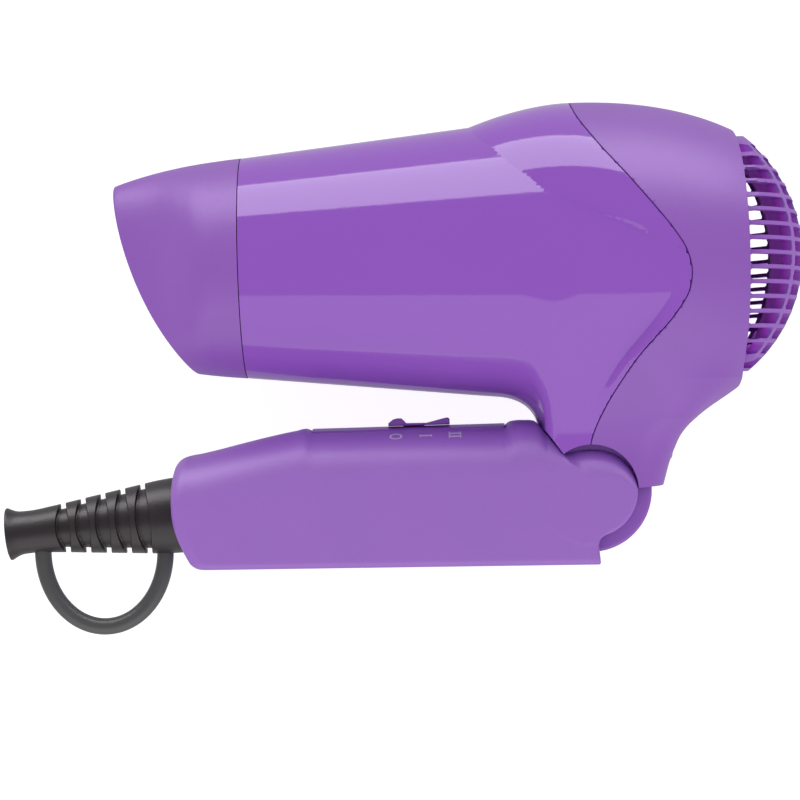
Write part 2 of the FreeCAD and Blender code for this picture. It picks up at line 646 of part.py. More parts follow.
def cord_clamp():
    """Bar that grips the lead just inside the tail of the handle."""
    bar = box(V(-82, -52.6, -9), V(-77, -50.6, 9))
    foot = box(V(-82, -62.4, -9), V(-77, -59.6, 9)).fuse(box(V(-81, -69.88, -5), V(-78, -62.4, 5)))
    holes = [cylinder(1.25, V(-79.5, -64, z), V(-79.5, -50, z)) for z in (-6.5, 6.5)]
    return group([bar.cut(holes), foot.cut(holes)])


def clamp_screws():
    screws = []
    for z in (-6.5, 6.5):
        head = cylinder(2.2, V(-79.5, -50.55, z), V(-79.5, -49.0, z))
        screws.append(head.fuse(cylinder(1.2, V(-79.5, -50.55, z), V(-79.5, -62.0, z))))
    return group(screws)


def strain_relief():
    """Tapered rubber cord guard with flexing grooves and a flared mouth."""
    radii = [(0, BOOT_ROOT_R), (6, BOOT_ROOT_R - 0.2), (BOOT_LENGTH - 11, BOOT_TIP_R + 0.35),
             (BOOT_LENGTH - 2, BOOT_TIP_R), (BOOT_LENGTH, BOOT_FLARE_R), (BOOT_LENGTH, 0), (0, 0)]
    outline = [V(x, r, 0) for x, r in radii]
    boot = turned(polyline(outline + outline[:1]))
    collar = ring_x(BOOT_ROOT_R + 1.4, CORD_BORE_R, -2.2, 0.5)
    cuts = []
    for i in range(5):
        x = 9.6 + 4.75 * i
        r = BOOT_ROOT_R - (BOOT_ROOT_R - BOOT_TIP_R) * x / BOOT_LENGTH
        cuts.append(ring_x(r + 2, r - 1.2, x, x + 1.9))
    shape = joined([boot, collar]).cut([cylinder_x(CORD_BORE_R, -10, BOOT_LENGTH + 5)] + cuts)
    shape.rotate(V(0, 0, 0), V(0, 0, 1), 180 + BOOT_TILT_DEG)
    shape.translate(BOOT_ROOT)
    return shape


def hanging_loop(guard):
    """Moulded half-oval loop under the cord guard, for hanging the dryer on a hook."""
    lift = 4.0
    oval = Part.Ellipse(LOOP_CENTRE + V(0, -LOOP_DROP, 0), LOOP_CENTRE + V(LOOP_HALF_X, 0, 0), LOOP_CENTRE)
    arc = oval.toShape()
    below = box(LOOP_CENTRE + V(-40, -60, -10), LOOP_CENTRE + V(40, 0, 10))
    half = [e for e in arc.common(below).Edges]
    ends = [LOOP_CENTRE + V(side * LOOP_HALF_X, 0, 0) for side in (-1, 1)]
    legs = [Part.makeLine(end, end + V(0, lift, 0)) for end in ends]
    path = Part.Wire(Part.__sortEdges__([legs[0]] + half + [legs[1]]))
    start = path.OrderedVertexes[0].Point
    profile = Part.Wire(Part.makeCircle(LOOP_WIRE_R, start, V(0, 1, 0)))
    tube = path.makePipeShell([profile], True, True)
    filled = guard.fuse(cylinder(CORD_BORE_R + 0.5, boot_axis(0), boot_axis(BOOT_LENGTH)))
    cut = tube.cut(filled)
    return max(cut.Solids, key=lambda s: s.Volume)


# ---------------------------------------------------------------- the assembly
def main():
    os.makedirs("parts", exist_ok=True)
    shell = casing()
    behind = seam_region()
    save("front_shell", shell.cut(behind))
    save("rear_shell", shell.common(behind).cut(neck_screw_shape(0.05)))
    save("hinge_knuckle", knuckle())
    save("neck_screw", neck_screw_shape())
    save("inlet_grille", inlet_grille())
    save("outlet_grille", outlet_grille())
    save("nozzle", nozzle())
    save("nozzle_snap_ring", nozzle_snap_ring())

    save("fan_stator", fan_stator())
    save("motor_can", motor_can())
    save("motor_magnets", motor_magnets())
    save("motor_end_cap", motor_end_cap())
    save("motor_brushes", motor_brushes())
    save("motor_bushes", motor_bushes())
    save("motor_shaft", motor_shaft())
    save("armature", armature())
    save("fan_impeller", fan_impeller())
    save("rectifier_board", rectifier_board())
    save("rectifier_diodes", rectifier_diodes())
    save("noise_capacitor", noise_capacitor())

    save("mica_sleeve", mica_sleeve())
    save("mica_cross", mica_cross())
    save("heater_coils", heater_coils())
    save("thermostat", thermostat())
    save("thermal_fuse", thermal_fuse())
    save("body_wiring", body_wiring())

    handle = handle_shell()
    near_half = box(V(-200, -200, 0), V(200, 200, 200))
    save("handle_shell_near", handle.common(near_half))
    save("handle_shell_far", handle.cut(near_half))
    save("handle_screws", group([handle_screw_shape(p) for p in screw_places()]))
    save("hinge_washers", hinge_washers())
    save("switch_bezel", switch_bezel())
    save("switch_slider", switch_slider())
    save("switch_module", switch_module())
    save("switch_board", switch_board())
    save("handle_wiring", handle_wiring())
    save("cord_clamp", cord_clamp())
    save("clamp_screws", clamp_screws())
    guard = strain_relief()
    save("strain_relief", guard)
    save("hanging_loop", hanging_loop(guard))


main()
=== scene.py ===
"""Folding travel hair dryer: its visible pieces, finishes, lights and camera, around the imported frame.

Shapes are worked out in millimetres in the barrel frame: the origin is on the barrel axis at the
widest section of the fan housing, +X runs towards the air inlet, +Y away from the folded handle and
+Z out of the dryer's left side. placed() puts them in the row frame, in metres.
"""

import json
import math

import bmesh
import bpy
import numpy as np
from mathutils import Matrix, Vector


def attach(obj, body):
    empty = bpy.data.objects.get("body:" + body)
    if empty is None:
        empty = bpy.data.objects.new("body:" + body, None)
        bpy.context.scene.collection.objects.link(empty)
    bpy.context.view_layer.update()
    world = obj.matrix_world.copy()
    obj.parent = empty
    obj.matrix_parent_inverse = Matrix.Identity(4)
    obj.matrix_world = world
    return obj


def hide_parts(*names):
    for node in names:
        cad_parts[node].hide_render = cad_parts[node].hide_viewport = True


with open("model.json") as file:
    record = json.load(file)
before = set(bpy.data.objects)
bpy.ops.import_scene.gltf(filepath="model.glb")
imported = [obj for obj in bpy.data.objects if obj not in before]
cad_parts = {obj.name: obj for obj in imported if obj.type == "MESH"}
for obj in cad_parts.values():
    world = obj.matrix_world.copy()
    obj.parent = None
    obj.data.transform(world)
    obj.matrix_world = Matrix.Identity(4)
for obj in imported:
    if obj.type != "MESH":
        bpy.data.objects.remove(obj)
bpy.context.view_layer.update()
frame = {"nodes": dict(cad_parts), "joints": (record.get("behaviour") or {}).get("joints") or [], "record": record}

JOINTS = {joint["name"]: joint for joint in frame["joints"]}
BARREL_AXIS = np.array(JOINTS["fan_spin"]["pos_m"]) * 1000
FOLD = np.array(JOINTS["handle_fold"]["pos_m"]) * 1000 - BARREL_AXIS

WALL = 2.0                          # casing and handle
MOUTH_X = -77.5                     # end of the barrel
RIM_X = 36.8                        # end of the fan housing, where the inlet sits
HOUSING_R = 36.4                    # widest section of the fan housing, at x = 0
CONE_START_X = -24.5                # the barrel's cone and the housing's swell meet here
CONE_START_R = 31.3
SEAM_GAP = 0.16                     # half the gap between the two casing shells

DOME_X = 18.0                       # centre of the inlet's dome
DOME_R = 35.0
DOME_WALL = 2.4
SEAT_R = 27.55
SLOT_PITCH = 3.27
SLOT_DROP = 1.1
BAR_TURN = math.radians(3)
BAR_SPACING = math.radians(26.5)

HALF_WIDTH = 17.5                   # half the handle's width, and the neck's
CHEEK_GAP = 13.0                    # half the gap between the handle's cheeks
KNUCKLE_R = 14.1
KNUCKLE_HALF = 12.7
CHEEK_R = 10.4
PIVOT_R = 5.0
NECK_FRONT_X = -9.2
CLOSED_RAY, OPEN_RAY = 126, 2.5     # degrees: where handle and neck face each other round the fold

SWITCH_X, SWITCH_Y = -40.3, -38.05  # middle and face of the switch's surround
SCREWS = ((-85, -65.5), (-66, -46.0), (-17.5, -66.0))
SCREW_SEAT_Z = -11.5
NECK_SCREW_Y, NECK_SCREW_SEAT_X = -45, 20.4

GUARD_ROOT = (-92.0, -57.1)
GUARD_TILT = math.radians(4.8)
GUARD_LENGTH = 43.0
GUARD_BORE_R = 3.1
GUARD_WINDOW_R = 9.1
GROOVE_PITCH = 4.75
LOOP_CENTRE = (-112.55, -65.4)
LOOP_WIRE_R = 1.95
LOOP_REACH_X, LOOP_REACH_Y = 14.35, 17.6


# ---------------------------------------------------------------- outlines and fields
def curve(*points):
    """Smooth function through a few points, flat beyond its ends."""
    px, py = np.array(points, float).T
    slope = np.gradient(py, px)

    def at(x):
        x = np.clip(x, px[0], px[-1])
        i = np.clip(np.searchsorted(px, x) - 1, 0, len(px) - 2)
        h = px[i + 1] - px[i]
        t = (x - px[i]) / h
        rise = (3 - 2 * t) * t * t
        bend = (slope[i] * (1 - t) - slope[i + 1] * t) * t * (1 - t) * h
        return py[i] + (py[i + 1] - py[i]) * rise + bend

    return at


def merge(a, b, k):
    """Union of two fields with a soft fillet about k wide."""
    h = np.clip(0.5 + 0.5 * (b - a) / k, 0, 1)
    return b + (a - b) * h - k * h * (1 - h)


def meet(a, b, k):
    """Intersection of two fields with a soft round about k wide."""
    return -merge(-a, -b, k)


def round_edge(a, b, r):
    """Intersection of two fields whose edge is rounded to radius r."""
    return np.minimum(np.maximum(a, b), -r) + np.hypot(np.maximum(a + r, 0), np.maximum(b + r, 0))


def outline(points):
    """Signed distance from a closed outline of straight sides."""
    ends = list(zip(points, points[1:] + points[:1]))

    def at(x, y):
        nearest = np.full(np.broadcast(x, y).shape, 1e9)
        inside = np.zeros(nearest.shape, bool)
        for (ax, ay), (bx, by) in ends:
            ex, ey = bx - ax, by - ay
            t = np.clip(((x - ax) * ex + (y - ay) * ey) / (ex * ex + ey * ey), 0, 1)
            nearest = np.minimum(nearest, (x - ax - ex * t) ** 2 + (y - ay - ey * t) ** 2)
            if ey:
                inside ^= ((ay > y) != (by > y)) & (x < ax + ex * (y - ay) / ey)
        return np.where(inside, -1, 1) * np.sqrt(nearest)

    return at


def from_fold(x, y):
    return np.hypot(x - FOLD[0], y - FOLD[1])


def beside_ray(degrees, x, y):
    """Distance to the anticlockwise side of a ray out of the fold axis."""
    a = math.radians(degrees)
    return (y - FOLD[1]) * math.cos(a) - (x - FOLD[0]) * math.sin(a)


# ---------------------------------------------------------------- meshing
def gradient(field, p, step=0.01):
    """Unit slope of a field at an array of points."""
    g = np.empty_like(p)
    for k in range(3):
        ahead, behind = p.copy(), p.copy()
        ahead[:, k] += step
        behind[:, k] -= step
        g[:, k] = field(*ahead.T) - field(*behind.T)
    return g / np.maximum(np.linalg.norm(g, axis=1, keepdims=True), 1e-9)


def crossings(field, start, step, first_inside):
    """Points where the field changes sign along grid edges."""
    near = np.zeros(len(start))
    far = np.ones(len(start))
    for _ in range(9):
        t = (near + far) / 2
        inside = field(*(start + step * t[:, None]).T) < 0
        same = inside == first_inside
        near, far = np.where(same, t, near), np.where(same, far, t)
    return start + step * ((near + far) / 2)[:, None]


def carve(field, low, high, cell):
    """Vertices, quads and corner normals of the solid where the field is negative.

    A vertex in each cell sits where the planes through the cell's edge crossings meet, so that
    sharp edges stay sharp.
    """
    low = np.array(low, float)
    count = np.ceil((np.array(high) - low) / cell).astype(int) + 1
    xs, ys, zs = (low[k] + cell * np.arange(count[k]) for k in range(3))
    inside = np.empty(count, bool)
    for i in range(0, len(xs), 12):
        inside[i:i + 12] = field(xs[i:i + 12, None, None], ys[None, :, None], zs[None, None, :]) < 0
    cells, points, slopes, quads = [], [], [], []
    for axis in range(3):
        b, c = (axis + 1) % 3, (axis + 2) % 3
        here = inside.take(range(0, count[axis] - 1), axis)
        there = inside.take(range(1, count[axis]), axis)
        index = np.argwhere(here != there)
        first = here[tuple(index.T)]
        step = np.zeros(3)
        step[axis] = cell
        p = crossings(field, low + cell * index, step, first)
        n = gradient(field, p)
        corner_ids = []
        for db, dc in ((0, 0), (1, 0), (1, 1), (0, 1)):
            at = index.copy()
            at[:, b] -= db
            at[:, c] -= dc
            corner_ids.append(np.ravel_multi_index(at.T, count))
        for ids in corner_ids:
            cells.append(ids)
            points.append(p)
            slopes.append(n)
        quad = np.stack(corner_ids, 1)
        quads.append(np.where(first[:, None], quad, quad[:, ::-1]))
    cells, p, n = np.concatenate(cells), np.concatenate(points), np.concatenate(slopes)
    used, cell_of = np.unique(cells, return_inverse=True)
    size = len(used)

    def total(w):
        return np.bincount(cell_of, w, size)

    share = total(np.ones(len(p)))
    middle = np.stack([total(p[:, k]) for k in range(3)], 1) / share[:, None]
    along = (n * (p - middle[cell_of])).sum(1)
    squares = np.empty((size, 3, 3))
    right = np.empty((size, 3))
    for j in range(3):
        right[:, j] = total(n[:, j] * along)
        for k in range(3):
            squares[:, j, k] = total(n[:, j] * n[:, k]) + (0.04 if j == k else 0)
    vertices = middle + np.linalg.solve(squares, right[..., None])[..., 0]
    corner = low + cell * np.stack(np.unravel_index(used, count), 1)
    vertices = np.clip(vertices, corner, corner + cell)
    faces = np.searchsorted(used, np.concatenate(quads))
    centre = vertices[faces].mean(1)[:, None]
    beside = vertices[faces] * 0.8 + centre * 0.2
    normals = gradient(field, beside.reshape(-1, 3), 0.03)
    return vertices, faces, normals


def placed(points):
    """Barrel frame in millimetres to row frame in metres."""
    return (np.asarray(points, float) + BARREL_AXIS) / 1000


def add_piece(name, mesh, body, material, *nodes):
    """Puts a finished mesh in the scene as one piece that stands for the CAD nodes."""
    piece = bpy.data.objects.new(name, mesh)
    bpy.context.scene.collection.objects.link(piece)
    mesh.materials.clear()
    mesh.materials.append(material)
    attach(piece, body)
    if nodes:
        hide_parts(*nodes)
    return piece


def carved_piece(name, field, low, high, cell, body, material, *nodes):
    vertices, faces, normals = carve(field, low, high, cell)
    mesh = bpy.data.meshes.new(name)
    mesh.vertices.add(len(vertices))
    mesh.vertices.foreach_set("co", placed(vertices).astype(np.float32).ravel())
    mesh.loops.add(faces.size)
    mesh.loops.foreach_set("vertex_index", faces.astype(np.int32).ravel())
    mesh.polygons.add(len(faces))
    mesh.polygons.foreach_set("loop_start", np.arange(0, faces.size, 4, dtype=np.int32))
    mesh.update(calc_edges=True)
    mesh.polygons.foreach_set("use_smooth", np.ones(len(faces), bool))
    mesh.normals_split_custom_set(normals.tolist())
    print(name, len(faces) * 2, "triangles")
    return add_piece(name, mesh, body, material, *nodes)


def polished(node, body, material, angle=35, lowest=-100.0):
    """Copy of a CAD node with its corners merged, smooth where it curves, and trimmed below lowest."""
    mesh = frame["nodes"][node].data.copy()
    work = bmesh.new()
    work.from_mesh(mesh)
    bmesh.ops.remove_doubles(work, verts=work.verts, dist=2e-6)
    floor_y = placed((0, lowest, 0))[1]
    for vertex in work.verts:
        vertex.co.y = max(vertex.co.y, floor_y)
    work.to_mesh(mesh)
    work.free()
    mesh.polygons.foreach_set("use_smooth", np.ones(len(mesh.polygons), bool))
    mesh.set_sharp_from_angle(angle=math.radians(angle))
    return add_piece(node + "_smooth", mesh, body, material, node)


# ---------------------------------------------------------------- casing
CREASE = curve((-50, -2.5), (-43, -1.5), (-35, 1.7), (-24.5, 7.6), (-15.2, 15.2), (-10.3, 18.5),
               (-5.9, 19.3), (-3.6, 18.8), (-0.2, 16.9), (3.9, 12.5), (8.2, 3.2), (12.2, -5.7),
               (17.2, -12.2), (24, -19.2), (29.3, -23.9), (33, -24.5))
SEAM = curve((-50, 0.9), (-42.8, 1.1), (-35.4, 4.1), (-29.1, 7.8), (-24.1, 11.2), (-14.1, 19.9),
             (-10, 22.4), (-5.6, 23.2), (-0.8, 22.2), (3.8, 19.5), (9.3, 15.3), (15.6, 10.4),
             (25, 3.3), (32.4, -0.5), (37, -1.0))
NECK_BACK = curve((-62, 17.0), (-53, 19.0), (-45, 21.7), (-41.7, 23.4), (-36, 29.2), (-32.8, 33.5),
                  (-29, 38.2))
NECK_HALF = curve((-60, HALF_WIDTH), (-44, HALF_WIDTH), (-33, 20.5), (-24, 23.5))


def cone_radius(x):
    """Radius of the barrel's cone, which slackens behind its start."""
    along = x - CONE_START_X
    return CONE_START_R + 0.1047 * along - 0.0012 * np.maximum(along, 0) ** 2


def housing_radius(x):
    """Radius of the fan housing: a swell in front of its widest section, a blunt dome behind."""
    bluntness = 2.2
    swell = np.clip(x / CONE_START_X, 0, 1) ** 1.75
    front = HOUSING_R - (HOUSING_R - CONE_START_R) * swell
    rear = HOUSING_R * (1 - np.clip(x / 56.7, 0, 0.99) ** bluntness) ** (1 / bluntness)
    return np.where(x < 0, front, rear)


def barrel(x, y, z):
    """Cone, then a flare that starts at the crease and reaches the fan housing at the seam."""
    crease, seam = CREASE(y), SEAM(y)
    t = np.clip((x - crease) / (seam - crease), 0, 1)
    low, high = cone_radius(crease), housing_radius(seam)
    flare = low + (high - low) * (1 - (1 - t) ** 1.75)
    radius = np.where(x < crease, cone_radius(x), np.where(x < seam, flare, housing_radius(x)))
    return (np.hypot(y, z) - radius) * 0.97


def neck(x, y, z):
    """Flat-sided neck under the fan housing, with a crowned back."""
    side = np.abs(z) - NECK_HALF(y)
    crown = 0.0107 + 0.016 * np.clip((y + 38) / 9, 0, 1)
    back = (x - NECK_BACK(y) + crown * z * z) * 0.85
    below = round_edge(round_edge(back, side, 6.5), NECK_FRONT_X - x, 3)
    return np.maximum(below, y + 8)


def casing_skin(x, y, z):
    """Outside of the whole casing; the fillet over the handle's end is the fuller one."""
    fillet = 7 + 3.2 * np.clip((1 - x) / 8, 0, 1)
    return merge(barrel(x, y, z), neck(x, y, z), fillet)


def casing(x, y, z):
    """Hollow shell of barrel, fan housing and neck, cleared round the fold joint."""
    skin = casing_skin(x, y, z)
    bridge = KNUCKLE_HALF + 0.4
    hollow = np.maximum(skin + WALL, np.abs(z) - bridge - np.maximum(y + 44, 0) * 0.8)
    shell = np.maximum(skin, -hollow)
    shell = np.maximum(shell, np.maximum(MOUTH_X - x, x - RIM_X))
    r = from_fold(x, y)
    wedge = np.maximum(-beside_ray(OPEN_RAY, x, y), beside_ray(CLOSED_RAY - 0.4, x, y))
    shell = np.maximum(shell, np.minimum(wedge, 23.5 - r))
    shell = np.maximum(shell, CHEEK_R + 0.3 - r)
    return np.maximum(shell, -np.maximum(r - KNUCKLE_R - 0.2, np.abs(z) - bridge))


def behind_seam(x, y):
    """Distance behind the seam's line, as seen from the side."""
    slope = (SEAM(y + 0.2) - SEAM(y - 0.2)) / 0.4
    return (x - SEAM(y)) / np.hypot(1, slope)


def seam(x, y, z):
    """Distance behind a seam that runs forward under the front shell's edge."""
    return behind_seam(x, y) + 0.4 * np.clip(-casing_skin(x, y, z), 0, 3)


def front_shell(x, y, z):
    return np.maximum(casing(x, y, z), seam(x, y, z) + SEAM_GAP)


def rear_shell(x, y, z):
    screw = np.maximum(np.hypot(y - NECK_SCREW_Y, z) - 2.9, NECK_SCREW_SEAT_X - x)
    return np.maximum(np.maximum(casing(x, y, z), SEAM_GAP - seam(x, y, z)), -screw)


# ---------------------------------------------------------------- nozzle and grilles
def circle_through(a, b, c):
    """Centre and radius of the circle through three points."""
    rows = np.array([[b[0] - a[0], b[1] - a[1]], [c[0] - a[0], c[1] - a[1]]], float) * 2
    squares = [p[0] ** 2 + p[1] ** 2 for p in (a, b, c)]
    centre = np.linalg.solve(rows, [squares[1] - squares[0], squares[2] - squares[0]])
    return centre, math.dist(centre, a)


NOZZLE_HALF_Y = curve((-112, 18.0), (-107, 20.1), (-99.3, 22.4), (-92.2, 23.9), (-85.1, 25.0),
                      (-77.5, 25.8), (-70, 26.4))
NOZZLE_HALF_Z = curve((-112, 8.2), (-107.5, 9.8), (-103.5, 11.4), (-97, 15.2), (-91, 20.4), (-87.5, 23.2),
                      (-84.8, 24.65), (-81.3, 25.3), (-77.5, 25.75), (-70, 26.4))
MOUTH_CENTRE, MOUTH_RADIUS = circle_through((-107.6, 20.5), (-102.4, -2.6), (-89.1, -24.8))


def nozzle(x, y, z):
    """Round where it grips the barrel, then flattening to a slanting mouth."""
    def skin(inset):
        a, b = NOZZLE_HALF_Y(x) - inset, NOZZLE_HALF_Z(x) - inset
        power = 2 + 0.9 * np.clip((-84 - x) / 22, 0, 1)
        ring = (np.abs(y / a) ** power + np.abs(z / b) ** power) ** (1 / power)
        return (ring - 1) * np.minimum(a, b)

    outer = skin(0)
    rho = np.hypot(y, z)
    bore = np.minimum(skin(1.6), np.maximum(rho - 23.6, -84.2 - x))
    mouth = np.hypot(x - MOUTH_CENTRE[0], y - MOUTH_CENTRE[1]) - MOUTH_RADIUS
    shell = round_edge(np.maximum(outer, -bore), mouth, 0.4)
    ring_groove = np.maximum(np.abs(x + 81) - 0.75, rho - 24.5)
    return np.maximum(np.maximum(shell, x - MOUTH_X + 0.2), -ring_groove)


def inlet_grille(x, y, z):
    """Dome with level slots between upright bars, and the rim that snaps into the casing.

    The bars are evenly spaced, and turned 3 degrees towards the dryer's left side.
    """
    rho = np.hypot(y, z)
    reach = np.sqrt((x - DOME_X) ** 2 + y * y + z * z)
    bowl = np.maximum(reach - DOME_R, DOME_R - DOME_WALL - reach)
    dome = np.maximum(bowl, np.maximum(rho - SEAT_R, RIM_X + 0.1 - x))
    rim = np.maximum(np.maximum(rho - 26.8, 24.6 - rho), np.abs(x - 34.85) - 2.55)
    seat = np.maximum(np.maximum(rho - SEAT_R, 24.6 - rho), np.abs(x - 37.15) - 0.25)
    row = np.abs(np.mod((y + SLOT_DROP) / SLOT_PITCH, 1) - 0.5) * SLOT_PITCH - 1.2
    row = np.maximum(row, np.abs(y + SLOT_DROP) - 8 * SLOT_PITCH)
    ring_x = np.hypot(x - DOME_X, z)
    turn = np.abs(np.arctan2(z, x - DOME_X) - BAR_TURN)
    bar = 0.95 - np.minimum(turn, np.abs(turn - BAR_SPACING)) * ring_x
    slot = round_edge(round_edge(row, RIM_X + 0.15 - x, 0.8), bar, 0.6)
    stiffener = np.maximum(np.maximum(turn * ring_x - 0.9, reach - DOME_R + 0.5), np.abs(y) - 23)
    stiffener = np.maximum(stiffener, 44.5 - np.hypot(x - 1.1, y + 1.1))
    return np.minimum(np.maximum(np.minimum(np.minimum(dome, rim), seat), -slot), stiffener)


def outlet_grille(x, y, z):
    """Collar that carries the nozzle, and the guard of rings and spokes across it."""
    rho = np.hypot(y, z)
    collar = np.maximum(np.abs(rho - 22.7) - 0.8, np.abs(x + 76) - 8)
    flange = np.maximum(np.abs(rho - 22.85) - 0.87, np.abs(x + 76.3) - 0.8)
    rings = np.minimum(np.abs(rho - 5), np.minimum(np.abs(rho - 10.5), np.abs(rho - 16))) - 0.7
    turn = np.radians(60)
    a = np.abs(np.mod(np.arctan2(z, y) + turn / 2, turn) - turn / 2)
    spokes = np.maximum(np.maximum(rho * np.sin(a) - 0.6, 4.8 - rho), rho - 22.2)
    guard = round_edge(np.minimum(rings, spokes), np.abs(x + 79.25) - 1.25, 0.3)
    return np.minimum(np.minimum(collar, flange), guard)


# ---------------------------------------------------------------- handle
HANDLE_TOP = curve((-97, -43.6), (-90.6, -43.4), (-87.1, -42.75), (-80, -41.15), (-72.9, -39.6),
                   (-67, -38.5), (-64.2, -38.1), (-62.6, -38.75), (-59.9, -38.8), (-44.9, -38.75),
                   (-30.3, -38.85), (-19.6, -38.95), (-18.1, -38.9), (-16.3, -37.75), (-14.9, -37.5),
                   (-12.9, -37.5), (-10.3, -37.8), (-8.8, -38.7))


def handle_body(x, y, z):
    """Grip with a broad round along its upper edges and crisp lower ones."""
    side = np.abs(z) - HALF_WIDTH + 0.0012 * (y + 57) ** 2
    top = (y - HANDLE_TOP(x)) * 0.97
    corner = -0.841 * (x + 95.4) - 0.54 * (y + 61.6)
    tail = meet(-95.2 + 0.01 * (y + 54) ** 2 - x, corner, 3)
    bottom = -69.35 - 0.0155 * (x + 90.5) - y
    return round_edge(round_edge(round_edge(top, side, 11), tail, 3), bottom, 1.6)


def handle_skin(x, y, z):
    """Outside of the handle, with the round cheeks that turn about the fold axis."""
    wedge = np.maximum(-beside_ray(CLOSED_RAY, x, y), beside_ray(-84.5, x, y))
    body = round_edge(handle_body(x, y, z), wedge, 0.5)
    r = from_fold(x, y)
    upward = np.clip((y - FOLD[1]) / np.maximum(r, 1), 0, 1)
    cheek = round_edge(r - CHEEK_R, np.abs(z) - HALF_WIDTH, 0.8 + 7.4 * upward)
    return np.maximum(merge(body, cheek, 2.5), np.abs(z) - HALF_WIDTH)


def handle_casing(x, y, z):
    """Hollow handle with its pivots, lead passage, cord guard window and switch recess."""
    skin = handle_skin(x, y, z)
    hollow = np.maximum(skin + WALL, x + 12)
    shell = np.maximum(skin, -hollow)
    r = from_fold(x, y)
    shell = np.maximum(shell, -np.maximum(r - KNUCKLE_R - 0.2, np.abs(z) - CHEEK_GAP))
    passage = np.maximum(np.abs(x + 9.2) - 4.3, np.maximum(np.abs(y + 54.5) - 11.5, np.abs(z) - 9))
    shell = np.maximum(shell, -passage)
    pivot = np.maximum(np.maximum(r - PIVOT_R, 3.2 - r), np.abs(np.abs(z) - 9) - 5)
    shell = np.minimum(shell, pivot)
    along, off = guard_place(x, y, z)
    window = np.maximum(off - GUARD_WINDOW_R, np.abs(along - 2) - 8)
    recess = round_box(x - SWITCH_X, y + 36, z, 22.7, 3.6, 8.2, 0.8)
    well = round_box(x - SWITCH_X, y + 36, z, 19.5, 9, 5, 0.5)
    return np.maximum(np.maximum(shell, -window), -np.minimum(recess, well))


def round_box(x, y, z, half_x, half_y, half_z, r):
    """Box about the origin whose upright edges are rounded."""
    return np.maximum(round_edge(np.abs(x) - half_x, np.abs(z) - half_z, r), np.abs(y) - half_y)


def handle_near(x, y, z):
    return np.maximum(handle_casing(x, y, z), 0.06 - z)


def handle_far(x, y, z):
    shell = np.maximum(handle_casing(x, y, z), z + 0.06)
    for sx, sy in SCREWS:
        shell = np.maximum(shell, -np.maximum(np.hypot(x - sx, y - sy) - 2.75, z - SCREW_SEAT_Z))
    return shell


def knuckle(x, y, z):
    """Round block with a tenon up into the neck, a lead duct and the pivot's bore."""
    r = from_fold(x, y)
    side = np.abs(z) - KNUCKLE_HALF
    block = round_edge(r - KNUCKLE_R, side, 0.8)
    tenon = np.maximum(np.maximum(np.abs(x - 4.75) - 10.25, np.abs(y + 43.2) - 6.7), side)
    duct = np.maximum(np.maximum(np.abs(x - 4) - 5.5, np.abs(y + 42) - 12), np.abs(z) - 7)
    return np.maximum(np.minimum(block, tenon), np.maximum(-duct, PIVOT_R + 0.06 - r))


SLIDER_SIDE = outline([(-45.0, -37.95), (-45.0, -37.3), (-43.9, -36.45), (-42.9, -36.2), (-41.9, -36.25),
                       (-41.2, -36.9), (-40.8, -37.4), (-36.0, -37.45), (-31.6, -36.4), (-31.0, -36.35),
                       (-30.7, -36.6), (-30.7, -37.95)])


def slider(x, y, z):
    """Thumb piece with a bump at each end, on a stem into the switch."""
    thumb = round_edge(SLIDER_SIDE(x, y), np.abs(z) - 5.0, 0.45)
    stem = np.maximum(np.maximum(np.abs(x + 39) - 2.5, np.abs(y + 42.2) - 4.3), np.abs(z) - 1.5)
    return np.minimum(thumb, stem)


def bezel(x, y, z):
    """Crowned plate round the switch, with the slot that the slider's stem runs in."""
    crown = y - SWITCH_Y + 0.65 * (z / 8) ** 2
    plate = round_edge(round_edge(np.abs(x - SWITCH_X) - 22.5, np.abs(z) - 8, 0.8), crown, 0.35)
    plate = np.maximum(plate, -39.5 - y)
    slot = np.maximum(np.abs(x + 31.9) - 10.3, np.abs(z) - 1.7)
    return np.maximum(plate, -slot)


# ---------------------------------------------------------------- cord guard and loop
def guard_place(x, y, z):
    """Distance along the cord guard's axis and off it."""
    dx, dy = x - GUARD_ROOT[0], y - GUARD_ROOT[1]
    along = -dx * math.cos(GUARD_TILT) - dy * math.sin(GUARD_TILT)
    across = dx * math.sin(GUARD_TILT) - dy * math.cos(GUARD_TILT)
    return along, np.hypot(across, z)


GUARD_RADIUS = curve((-1, 9.0), (6, 8.7), (14, 7.75), (24, 6.5), (32, 5.5), (38, 5.0), (40.6, 5.2),
                     (43, 6.3))


def cord_guard(x, y, z):
    """Tapered rubber guard with flexing grooves that widen at its sides."""
    along, off = guard_place(x, y, z)
    radius = GUARD_RADIUS(along)
    body = round_edge(off - radius, np.abs(along - GUARD_LENGTH / 2) - GUARD_LENGTH / 2, 0.5)
    side = np.abs(z) / np.maximum(off, 0.1)
    groove_at = np.abs(np.mod(along - 10.5 + GROOVE_PITCH / 2, GROOVE_PITCH) - GROOVE_PITCH / 2)
    half = 0.7 + 1.1 * side ** 2
    half = np.where(np.abs(along - 20) < 11.9, half, -1)
    groove = round_edge(groove_at - half, radius - 1.25 - off, 0.3)
    return np.maximum(np.maximum(body, -groove), GUARD_BORE_R - off)


# ---------------------------------------------------------------- repeated and swept pieces
def new_tree(name, **sizes):
    """Geometry tree with named number inputs."""
    tree = bpy.data.node_groups.new(name, "GeometryNodeTree")
    tree.interface.new_socket("Geometry", in_out="OUTPUT", socket_type="NodeSocketGeometry")
    tree.interface.new_socket("Geometry", in_out="INPUT", socket_type="NodeSocketGeometry")
    for label, value in sizes.items():
        socket = tree.interface.new_socket(label, in_out="INPUT", socket_type="NodeSocketFloat")
        socket.default_value = value
    return tree


